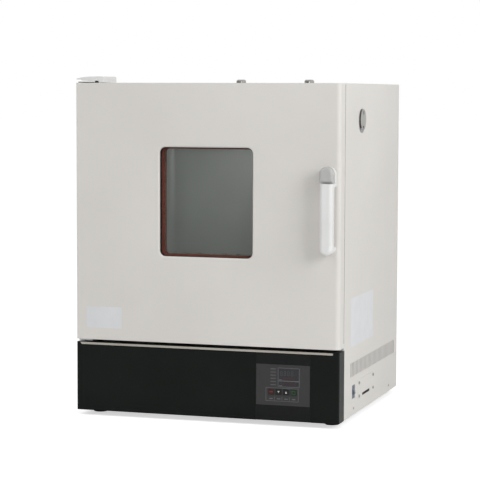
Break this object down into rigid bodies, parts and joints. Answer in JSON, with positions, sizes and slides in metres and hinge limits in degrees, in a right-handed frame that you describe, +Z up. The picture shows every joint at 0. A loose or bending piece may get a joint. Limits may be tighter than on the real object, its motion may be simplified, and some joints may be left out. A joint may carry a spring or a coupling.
{
  "type": "natural convection drying oven",
  "caption": "Bench drying oven with a hinged glazed door, push-button handle, black control cover, vented sides, swinging cable-port cover and wire shelves.",
  "frame": {"origin": "on the floor under the middle of the oven's outline, handle and cord gland included", "axes": "+X to the user's right, +Y to the back, +Z up; the door faces -Y"},
  "size_m": [0.7187, 0.715, 0.8864],
  "materials": {
    "cabinet_paint": "satin",
    "white_plastic": "satin",
    "grey_plastic": "gloss",
    "black_plastic": "satin",
    "panel_film": "satin",
    "dark_lens": "gloss",
    "red_key": "satin",
    "green_key": "satin",
    "black_key": "satin",
    "stainless": "satin",
    "plated_steel": "satin",
    "galvanised": "matte",
    "bright_trim": "satin",
    "glass_wool": "matte",
    "window_glass": "gloss",
    "black_paint": "satin",
    "red_silicone": "matte",
    "grey_silicone": "matte",
    "foot_rubber": "matte",
    "circuit_board": "satin",
    "breaker_case": "satin",
    "heater_sheath": "matte"
  },
  "bodies": {
    "cabinet": {"base_pan": "galvanised", "feet": "foot_rubber", "foot_bolts": "plated_steel", "left_side_panel": "cabinet_paint", "right_side_panel": "cabinet_paint", "top_panel": "cabinet_paint", "rear_panel": "cabinet_paint", "front_frame": "stainless", "compartment_deck": "galvanised", "chamber_liner": "stainless", "chamber_insulation": "glass_wool", "chamber_floor_plate": "stainless", "heater_elements": "heater_sheath", "sensor_probes": "stainless", "shelf_posts": "stainless", "shelf_brackets": "stainless", "wire_shelves": "stainless", "front_cover": "black_plastic", "control_insert": "black_plastic", "operation_sheet": "panel_film", "display_window": "dark_lens", "display_board": "circuit_board", "trim_strip": "bright_trim", "breaker_body": "breaker_case", "service_plate": "cabinet_paint", "communication_connector": "black_plastic", "panel_screws": "plated_steel", "cable_port_sleeve": "stainless", "cable_port_flange": "white_plastic", "cable_port_gasket": "red_silicone", "cable_port_screw": "plated_steel", "exhaust_pipes": "stainless", "hinge_brackets": "plated_steel", "hinge_cover": "white_plastic", "latch_keeper": "plated_steel", "transformer": "galvanised", "solid_state_relay": "black_plastic", "terminal_block": "black_plastic", "control_board": "circuit_board", "cord_gland": "black_plastic"},
    "door": {"door_skin": "cabinet_paint", "door_inner_panel": "stainless", "door_insulation": "glass_wool", "door_gasket": "grey_silicone", "window_frame": "black_paint", "window_gasket": "red_silicone", "window_panes": "window_glass", "handle_body": "white_plastic", "handle_screws": "plated_steel", "latch_bracket": "plated_steel"},
    "handle_button": {"handle_button": "grey_plastic"},
    "latch_hook": {"latch_hook": "plated_steel"},
    "key_red": {"key_red": "red_key"},
    "key_down": {"key_down": "black_key"},
    "key_up": {"key_up": "black_key"},
    "key_green": {"key_green": "green_key"},
    "breaker_lever": {"breaker_lever": "black_plastic"},
    "cable_port_cover": {"cable_port_cover": "grey_plastic"},
    "exhaust_cap_left": {"exhaust_cap_left": "grey_plastic"},
    "exhaust_cap_right": {"exhaust_cap_right": "grey_plastic"}
  },
  "joints": [
    {"name": "door_hinge", "type": "hinge", "parent": "cabinet", "child": "door", "pos_m": [-0.338, -0.292, 0.565], "axis": [0, 0, -1], "range_deg": [0, 120]},
    {"name": "handle_push", "type": "slide", "parent": "door", "child": "handle_button", "axis": [0, 1, 0], "range_m": [0, 0.005], "stiffness_N_per_m": 800},
    {"name": "latch_swing", "type": "hinge", "parent": "door", "child": "latch_hook", "pos_m": [0.3285, -0.282, 0.6025], "axis": [-1, 0, 0], "range_deg": [0, 7.5]},
    {"name": "breaker_swing", "type": "hinge", "parent": "cabinet", "child": "breaker_lever", "pos_m": [0.349, -0.161, 0.07425], "axis": [0, -1, 0], "range_deg": [0, 44]},
    {"name": "cable_port_swing", "type": "hinge", "parent": "cabinet", "child": "cable_port_cover", "pos_m": [0.359, -0.097, 0.795], "axis": [1, 0, 0], "range_deg": [-150, 150]},
    {"name": "key_red_press", "type": "slide", "parent": "cabinet", "child": "key_red", "axis": [0, 1, 0], "range_m": [0, 0.0008], "stiffness_N_per_m": 1500},
    {"name": "key_down_press", "type": "slide", "parent": "cabinet", "child": "key_down", "axis": [0, 1, 0], "range_m": [0, 0.0008], "stiffness_N_per_m": 1500},
    {"name": "key_up_press", "type": "slide", "parent": "cabinet", "child": "key_up", "axis": [0, 1, 0], "range_m": [0, 0.0008], "stiffness_N_per_m": 1500},
    {"name": "key_green_press", "type": "slide", "parent": "cabinet", "child": "key_green", "axis": [0, 1, 0], "range_m": [0, 0.0008], "stiffness_N_per_m": 1500},
    {"name": "exhaust_cap_left_turn", "type": "hinge", "parent": "cabinet", "child": "exhaust_cap_left", "pos_m": [0, -0.012, 0.876], "axis": [0, 0, 1], "range_deg": [0, 90]},
    {"name": "exhaust_cap_right_turn", "type": "hinge", "parent": "cabinet", "child": "exhaust_cap_right", "pos_m": [0.19, -0.012, 0.876], "axis": [0, 0, 1], "range_deg": [0, 90]}
  ],
  "couplings": [
    {"joint": "latch_swing", "follows": "handle_push", "rad_per_m": 25}
  ]
}
